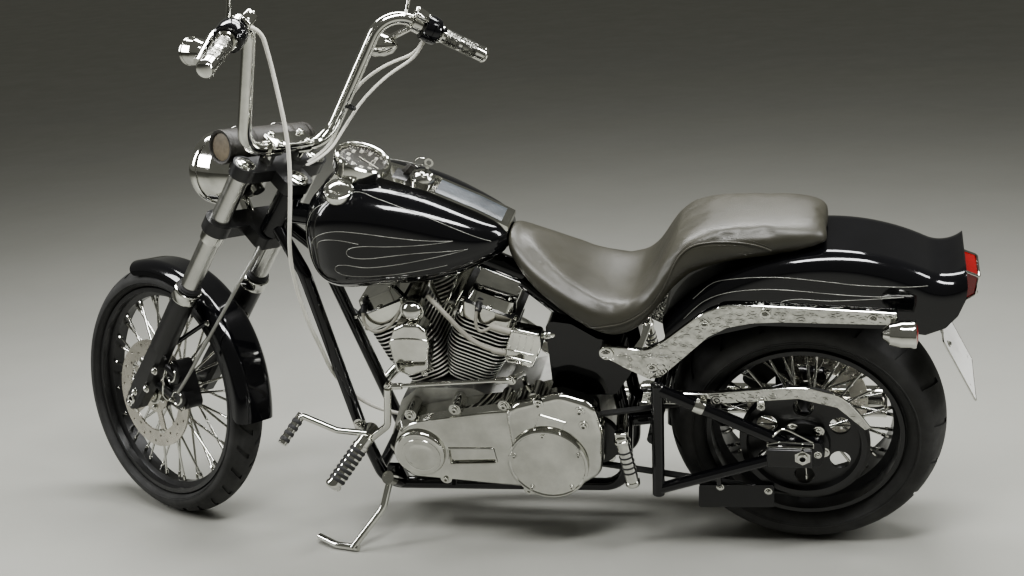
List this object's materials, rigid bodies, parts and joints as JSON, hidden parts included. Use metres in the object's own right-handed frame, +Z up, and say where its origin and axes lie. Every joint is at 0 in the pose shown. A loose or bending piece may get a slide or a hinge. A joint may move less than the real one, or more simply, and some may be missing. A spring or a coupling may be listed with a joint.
{
  "type": "chopper motorcycle",
  "caption": "Raked cruiser motorcycle with high bars, laced wheels, finned V-twin engine, teardrop tank and low saddle, leaning on its side stand.",
  "frame": {"origin": "on the floor, under the middle of the machine's own box", "axes": "+X forward along the machine, +Y to the rider's left, +Z up"},
  "size_m": [2.3798, 0.9068, 1.5481],
  "materials": {
    "gloss_black": "gloss black paint",
    "chrome": "polished chrome",
    "satin_black": "satin black powder coat",
    "fork_silver": "satin silver fork tube",
    "engine_alloy": "grey cast alloy with bright fin edges",
    "tyre_rubber": "black tyre rubber",
    "belt_rubber": "black rubber",
    "braided_hose": "braided steel",
    "disc_steel": "ground steel",
    "seat_leather": "smooth dark leather with a soft sheen",
    "roll_leather": "thick dark leather",
    "red_lens": "dark red lens",
    "plate_white": "blank white plate"
  },
  "bodies": {
    "chassis": {"air_cleaner": "chrome", "belt_guards": "chrome", "clutch_cable": "belt_rubber", "clutch_cover": "chrome", "cylinders": "engine_alloy", "drive_belt": "belt_rubber", "engine_case": "engine_alloy", "exhausts": "chrome", "fender_struts": "chrome", "foot_controls": "chrome", "frame": "gloss_black", "fuel_tank": "gloss_black", "gearbox_pulley": "satin_black", "left_side_covers": "chrome", "number_plate": "plate_white", "oil_tank": "gloss_black", "primary_cover": "chrome", "rear_axle": "chrome", "rear_caliper": "satin_black", "rear_fender": "gloss_black", "rear_signals": "chrome", "rocker_boxes": "chrome", "seat": "seat_leather", "swingarm": "gloss_black", "tail_lamp": "red_lens", "tank_trim": "chrome"},
    "fork": {"brake_hose": "braided_hose", "fork_sliders": "gloss_black", "fork_tubes": "fork_silver", "front_axle": "chrome", "front_caliper": "satin_black", "front_fender": "gloss_black", "front_signals": "chrome", "grips": "belt_rubber", "handlebar": "chrome", "headlamp": "chrome", "levers": "chrome", "mirrors": "chrome", "switch_housings": "satin_black", "throttle_cables": "belt_rubber", "tool_roll": "roll_leather", "triple_trees": "satin_black"},
    "front_wheel": {"front_disc": "disc_steel", "front_rim_hub": "satin_black", "front_spokes": "chrome", "front_tyre": "tyre_rubber"},
    "rear_wheel": {"rear_disc": "disc_steel", "rear_pulley": "satin_black", "rear_rim_hub": "satin_black", "rear_spokes": "chrome", "rear_tyre": "tyre_rubber"},
    "side_stand": {"side_stand": "chrome"}
  },
  "joints": [
    {"name": "steering", "type": "hinge", "parent": "chassis", "child": "fork", "pos_m": [0.8299, -0.14435, 0.29787], "axis": [-0.5603, 0.1724, 0.8101], "range_deg": [0, 64], "deforming": ["clutch_cable"]},
    {"name": "front_wheel_spin", "type": "hinge", "parent": "fork", "child": "front_wheel", "pos_m": [0.87906, -0.17373, 0.33812], "axis": [0.4392, 0.8911, 0.1141], "continuous": true},
    {"name": "rear_wheel_spin", "type": "hinge", "parent": "chassis", "child": "rear_wheel", "pos_m": [-0.8061, -0.13871, 0.32215], "axis": [0.0003, 0.9781, -0.2079], "continuous": true},
    {"name": "side_stand_fold", "type": "hinge", "parent": "chassis", "child": "side_stand", "pos_m": [0.22411, -0.01818, 0.16915], "axis": [0.1758, 0.8368, 0.5185], "range_deg": [0, 96.8]}
  ]
}
